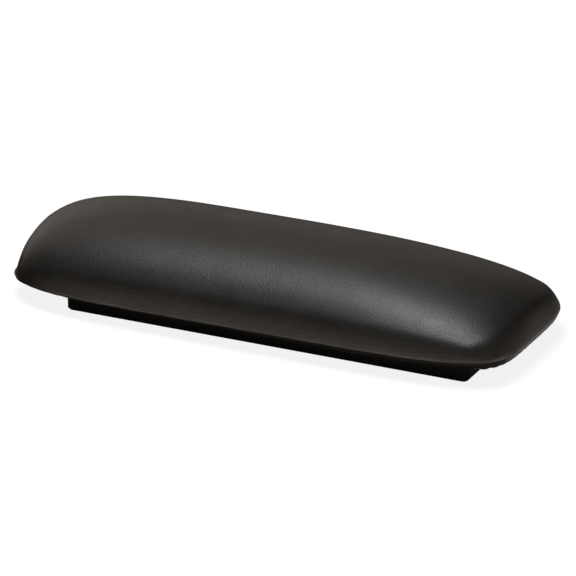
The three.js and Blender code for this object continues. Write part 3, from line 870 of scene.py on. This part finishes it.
# a tray screw: pan head with a cross recess and a rounded V thread
def screw_mesh(name, cx, cy, low, tip):
    R, T, shank, root, pitch, count = 4.0 * MM, 2.4 * MM, 2.0 * MM, 1.45 * MM, 1.4 * MM, 72
    ang = [2 * math.pi * k / count for k in range(count)]

    def recess(px, py):
        along, off = max(abs(px), abs(py)), min(abs(px), abs(py))
        half = (0.52 - 0.06 * along / (2.1 * MM)) * MM
        wall = 1 - max(0.0, min(1.0, (off - half) / (0.12 * MM)))
        end = 1 - max(0.0, min(1.0, (along - 1.95 * MM) / (0.2 * MM)))
        cone = max(0.0, 1 - math.hypot(px, py) / (1.25 * MM))
        floor_ = (1.35 - 0.28 * along / MM) * MM
        return max(floor_ * wall * wall * (3 - 2 * wall) * end, 1.45 * MM * cone)

    rings_ = []
    radii = [0.12, 0.28, 0.42, 0.52, 0.62, 0.74, 0.9, 1.06, 1.22, 1.4, 1.58, 1.76, 1.92, 2.02, 2.12, 2.25, 2.5]
    radii = [r * MM for r in radii] + [R * math.sin(t) ** 0.72 for t in (0.78, 0.95, 1.12, 1.28, 1.42, math.pi / 2)]
    for r in radii:
        base_z = low + 1.35 * MM * (1 - max(0.0, 1 - (r / R) ** (2 / 0.72)) ** 0.36)
        rings_.append([(cx + r * math.cos(a), cy + r * math.sin(a), base_z + recess(r * math.cos(a), r * math.sin(a))) for a in ang])
    seat = low + T
    for r, z in ((R, seat - 0.35 * MM), (R * 0.985, seat - 0.08 * MM), (R * 0.96, seat), (shank * 1.12, seat), (shank * 0.97, seat + 0.1 * MM)):
        rings_.append([(cx + r * math.cos(a), cy + r * math.sin(a), z) for a in ang])
    z0, z1 = seat + 0.3 * MM, tip - 0.4 * MM
    rows = int((z1 - z0) / pitch * 7)
    for k in range(rows + 1):
        z = z0 + (z1 - z0) * k / rows
        point = min(1.0, (tip - z) / (3.2 * MM))
        lead = min(1.0, (z - z0) / (0.8 * MM))
        row = []
        for a in ang:
            r = thread(z / pitch - a / (2 * math.pi), root, root + (shank - root) * lead) * (0.12 + 0.88 * point)
            row.append((cx + r * math.cos(a), cy + r * math.sin(a), z))
        rings_.append(row)
    return ring_mesh(name, rings_, ((cx, cy, low + 1.45 * MM), (cx, cy, tip)))


for n_ in sorted(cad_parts):
    if n_.startswith("tray_screw_"):
        c_, l_, h_ = centre(n_)
        finished(screw_mesh(n_.replace("tray_screw", "pan_screw"), c_.x, c_.y, l_.z, h_.z), n_, "screw", m_screw, angle=42)


# a tee nut: pressed flange, drawn barrel with an M6 thread inside, four prongs folded from the flange
def nut_mesh(name, cx, cy, low, top):
    count = 48
    ang = [2 * math.pi * k / count for k in range(count)]
    flange, barrel, t = 9.0 * MM, 4.0 * MM, 1.2 * MM
    crest, root, pitch = 2.55 * MM, 2.98 * MM, 1.0 * MM
    prof = [(3.15, low), (3.8, low), (3.95, low + 0.05 * MM), (4.0, low + 0.2 * MM), (4.0, top - t - 0.7 * MM), (4.12, top - t - 0.3 * MM),
            (4.45, top - t - 0.06 * MM), (4.9, top - t), (8.5, top - t), (8.85, top - t + 0.12 * MM), (9.0, top - t + 0.4 * MM),
            (9.0, top - 0.4 * MM), (8.85, top - 0.12 * MM), (8.5, top), (4.6, top), (3.9, top - 0.08 * MM), (3.4, top - 0.35 * MM), (3.08, top - 0.8 * MM)]
    rings_ = []
    for r, z in prof:
        r = r * MM
        rings_.append([(cx + r * math.cos(a), cy + r * math.sin(a), z) for a in ang])
    z0, z1 = top - 1.0 * MM, low + 0.25 * MM
    rows = int((z0 - z1) / pitch * 7)
    for k in range(rows + 1):
        z = z0 + (z1 - z0) * k / rows
        rings_.append([(cx + q * math.cos(a), cy + q * math.sin(a), z) for a in ang for q in (thread(z / pitch - a / (2 * math.pi), root, crest),)])
    ob = ring_mesh(name, rings_)
    # prongs: flat teeth, bent down from notches in the rim and cut to a slanting point
    bm = bmesh.new()
    bm.from_mesh(ob.data)
    w, th, length, at_r = 1.3 * MM, 0.5 * MM, 4.2 * MM, 7.0 * MM
    for k in range(4):
        a = math.pi / 2 * k
        u, v = Vector((math.cos(a), math.sin(a), 0)), Vector((-math.sin(a), math.cos(a), 0))
        o = Vector((cx, cy, 0)) + u * at_r
        z_top, z_low = top - t + 0.3 * MM, top - t - length
        shape = [(-w, z_top), (w, z_top), (w * 0.95, z_low + 1.5 * MM), (w * 0.35, z_low + 0.15 * MM), (w * 0.1, z_low), (-w * 0.75, z_low + 2.3 * MM)]
        front = [bm.verts.new(o + v * p_ + u * th * (0.9 if z < z_top else 1) + Vector((0, 0, z))) for p_, z in shape]
        rear = [bm.verts.new(o + v * p_ - u * th * (0.9 if z < z_top else 1) + Vector((0, 0, z))) for p_, z in shape]
        made = [bm.faces.new(front), bm.faces.new(rear[::-1])]
        for i in range(len(shape)):
            j = (i + 1) % len(shape)
            made.append(bm.faces.new((front[i], rear[i], rear[j], front[j])))
        bmesh.ops.recalc_face_normals(bm, faces=made)
        rim = [e for e in {e for f in made for e in f.edges}]
        bmesh.ops.bevel(bm, geom=rim, offset=0.08 * MM, segments=1, affect="EDGES")
    bm.to_mesh(ob.data)
    bm.free()
    return ob


for n_ in sorted(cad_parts):
    if n_.startswith("tee_nut_"):
        c_, l_, h_ = centre(n_)
        finished(nut_mesh(n_.replace("tee_nut", "m6_tee_nut"), c_.x, c_.y, l_.z, h_.z), n_, "tee_nut", m_nut, angle=44)


# a staple: flat wire bent to a U with round shoulders and chisel points
def staple_mesh(name, lo_, hi_):
    along_x = hi_.x - lo_.x > hi_.y - lo_.y
    half = (hi_.x - lo_.x if along_x else hi_.y - lo_.y) / 2
    wide = (hi_.y - lo_.y if along_x else hi_.x - lo_.x) / 2
    thick, z0, z1 = 0.6 * MM, lo_.z, hi_.z
    c_ = (lo_ + hi_) / 2
    bend = 0.9 * MM
    path = [(-half + thick / 2, z1)]
    path += [(-half + thick / 2, z) for z in np.linspace(z1 - 0.5 * MM, z0 + thick / 2 + bend, 5)]
    cx_, cz_ = -half + thick / 2 + bend, z0 + thick / 2 + bend
    path += [(cx_ + bend * math.cos(t), cz_ + bend * math.sin(t)) for t in np.linspace(math.pi, 1.5 * math.pi, 6)[1:]]
    path += [(0.0, z0 + thick / 2)]
    path += [(-u_, z_) for u_, z_ in path[-2::-1]]
    path = np.array(path)
    d = np.gradient(path, axis=0)
    d /= np.linalg.norm(d, axis=1, keepdims=True)
    nn = np.stack([-d[:, 1], d[:, 0]], 1)
    ring = [(0.5, 0.8), (0.5, -0.8), (0.38, -1), (-0.38, -1), (-0.5, -0.8), (-0.5, 0.8), (-0.38, 1), (0.38, 1)]
    rings_ = []
    for k, (q, n2) in enumerate(zip(path, nn)):
        f = 0.35 if k in (0, len(path) - 1) else 1.0
        row = []
        for a, b_ in ring:
            u_, z_ = q + n2 * a * thick * f
            y_ = b_ * wide
            row.append((c_.x + u_, c_.y + y_, z_) if along_x else (c_.x + y_, c_.y + u_, z_))
        rings_.append(row)
    ends = []
    for k in (0, -1):
        ends.append(tuple(np.mean(rings_[k], axis=0)))
    return ring_mesh(name, rings_, ends)


for n_ in sorted(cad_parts):
    if n_.startswith("hem_staple_"):
        c_, l_, h_ = centre(n_)
        finished(staple_mesh(n_.replace("hem_staple", "wire_staple"), l_, h_), n_, "staple", m_wire, angle=50)

# ------------------------------------------------------------------ stage, light and camera
floor = new_mesh("floor", [(-6, -6, -0.0003), (6, -6, -0.0003), (6, 6, -0.0003), (-6, 6, -0.0003)], [(0, 1, 2, 3)])
g = Look("floor_paper", (0.17, 0.17, 0.17), 0.95, specular=0.0)
g.b.inputs["Emission Color"].default_value = (1, 1, 1, 1)
g.b.inputs["Emission Strength"].default_value = 0.87
g.finish(g.blend(g.noise(0.9, 2), (0.16, 0.16, 0.16), (0.18, 0.18, 0.18)))
# the paper shows from above only, so that the underside can be looked at
mixer, clear_ = g.new("MixShader"), g.new("BsdfTransparent")
g.put(mixer.inputs["Fac"], g.new("NewGeometry").outputs["Backfacing"])
g.nt.links.new(g.b.outputs["BSDF"], mixer.inputs[1])
g.nt.links.new(clear_.outputs["BSDF"], mixer.inputs[2])
g.nt.links.new(mixer.outputs["Shader"], g.nt.nodes["Material Output"].inputs["Surface"])
floor.data.materials.append(g.m)
floor.visible_diffuse = floor.visible_glossy = floor.visible_transmission = floor.visible_shadow = False
# the pad's own shade on the paper, for what its underside and rim reflect
sheet = new_mesh("contact_shade", [(-0.16, -0.078, -0.00025), (0.16, -0.078, -0.00025), (0.16, 0.078, -0.00025), (-0.16, 0.078, -0.00025)], [(0, 1, 2, 3)])
g = Look("contact_shade", (0.03, 0.03, 0.03), 1.0, specular=0.0)
x_, y_, _ = g.axes()
edge_x = g.span(g.math("ABSOLUTE", x_), 0.118, 0.138, 1.0, 0.0)
edge_y = g.span(g.math("ABSOLUTE", y_), 0.045, 0.060, 1.0, 0.0)
mixer, clear_ = g.new("MixShader"), g.new("BsdfTransparent")
g.put(mixer.inputs["Fac"], g.math("MULTIPLY", edge_x, edge_y))
g.nt.links.new(clear_.outputs["BSDF"], mixer.inputs[1])
g.nt.links.new(g.b.outputs["BSDF"], mixer.inputs[2])
g.nt.links.new(mixer.outputs["Shader"], g.nt.nodes["Material Output"].inputs["Surface"])
sheet.data.materials.append(g.m)
sheet.visible_camera = sheet.visible_transmission = sheet.visible_shadow = False

scene.view_settings.view_transform = "Standard"
scene.view_settings.look = "None"

# the room: a white table below, a dim front, a pale wall behind that fades out towards the elbow end
world = bpy.data.worlds.new("studio")
scene.world = world
world.use_nodes = True


class Room(Look):
    def __init__(self, tree):
        self.nt = tree
        self.at = self.new("TexCoord").outputs["Generated"]


w = Room(world.node_tree)
dx, dy, dz = w.axes()
ramp = w.new("ValToRGB")
ramp.color_ramp.interpolation = "EASE"
ramp.color_ramp.elements[0].position, ramp.color_ramp.elements[0].color = 0.12, (0.95, 0.95, 0.95, 1)
ramp.color_ramp.elements[1].position, ramp.color_ramp.elements[1].color = 0.66, (0.03, 0.03, 0.03, 1)
for place_, v_ in ((0.35, 0.36), (0.46, 0.19), (0.56, 0.10), (0.80, 0.04), (0.95, 0.30)):
    e_ = ramp.color_ramp.elements.new(place_)
    e_.color = (v_, v_, v_, 1)
w.put(ramp.inputs["Fac"], w.span(dx, -1.0, 1.0, smooth=False))
behind = w.span(dy, w.span(dx, -0.55, -0.75, -0.12, 0.02), 0.30)
below_ = w.span(dz, 0.06, -0.16)
# the table is lit in front of the pad and to its right
facing = w.new("VectorMath", operation="DOT_PRODUCT")
w.put(facing.inputs[0], w.at)
w.put(facing.inputs[1], (0.6, -0.8, 0.0))
table_ = w.math("MULTIPLY", w.span(facing.outputs["Value"], 0.05, 0.38, w.span(dx, -0.10, 0.25, 0.012, 0.10), 1.0), w.math("MULTIPLY", w.span(dz, -0.62, -0.34, 0.03, 1.0), w.span(dz, -0.02, -0.21, 0.5, 3.9)))
table_ = w.math("MULTIPLY", table_, w.span(facing.outputs["Value"], 0.48, 0.80, 1.0, 0.6))
value = w.blend(behind, (0.13, 0.13, 0.13), ramp.outputs["Color"])
value = w.blend(below_, value, table_)
left = w.math("MULTIPLY", w.span(dx, -0.40, -0.74), w.math("SUBTRACT", 1.0, w.math("MULTIPLY", behind, w.math("SUBTRACT", 1.0, below_))))
value = w.blend(w.math("MULTIPLY", left, 0.97), value, (0.005, 0.005, 0.005))
value = w.blend(1.0, value, (1.0, 0.90, 0.80), "MULTIPLY")
# what the camera sees past the paper's edge is plain and pale
seen = w.new("LightPath").outputs["Is Camera Ray"]
value = w.blend(seen, value, (0.90, 0.90, 0.90))
bg = world.node_tree.nodes["Background"]
w.put(bg.inputs["Color"], value)
bg.inputs["Strength"].default_value = 1.0


def area(name, place, look_at, sx, sy, radiance, colour=(1, 1, 1)):
    """A soft oval light that shows radiance all over its face."""
    d = bpy.data.lights.new(name, "AREA")
    d.shape = "ELLIPSE"
    d.size, d.size_y = sx, sy
    d.energy = radiance * math.pi * sx * sy * math.pi / 4
    d.color = colour
    o = bpy.data.objects.new(name, d)
    o.location = place
    o.rotation_mode = "QUATERNION"
    o.rotation_quaternion = (Vector(look_at) - Vector(place)).to_track_quat("-Z", "Y")
    o.visible_camera = False
    scene.collection.objects.link(o)
    return o


area("overhead_softbox", (-0.065, -0.155, 1.3), (0, 0, 0), 0.82, 0.55, 13.2, (1.0, 0.985, 0.975))

# fills from behind and below: they reach the underside, the far rim and the lower edge of the elbow end
area("rim_fill", (0.1, 1.1, -0.75), (0, 0, 0), 0.9, 0.9, 1.0, (1.0, 0.97, 0.94))
area("underside_fill", (-0.805, 1.66, -1.2), (0, 0, 0), 0.7, 0.7, 14.0, (1.0, 0.97, 0.94))

AZ, EL, TURN = math.radians(25.87), math.radians(24.37), math.radians(-0.96)
SCALE = 2.1195                              # pixels to a millimetre across a 576-pixel frame
back = Vector((math.sin(AZ) * math.cos(EL), -math.cos(AZ) * math.cos(EL), math.sin(EL)))
right0 = Vector((math.cos(AZ), math.sin(AZ), 0))
up0 = back.cross(right0)
right = math.cos(TURN) * right0 + math.sin(TURN) * up0
up = -math.sin(TURN) * right0 + math.cos(TURN) * up0
CU, CV = 287.13, 313.98                     # where the origin falls in the frame
aim = ((288 - CU) / SCALE * right + (CV - 288) / SCALE * up) * MM
DIST = 10.0
cam_data = bpy.data.cameras.new("camera")
cam_data.sensor_width = 36
cam_data.lens = 36 * DIST / (576 / SCALE * MM)
cam_data.clip_start, cam_data.clip_end = 0.05, 60
cam = bpy.data.objects.new("camera", cam_data)
scene.collection.objects.link(cam)
cam.matrix_world = Matrix((
    (right.x, up.x, back.x, aim.x + back.x * DIST),
    (right.y, up.y, back.y, aim.y + back.y * DIST),
    (right.z, up.z, back.z, aim.z + back.z * DIST),
    (0, 0, 0, 1),
))
scene.camera = cam
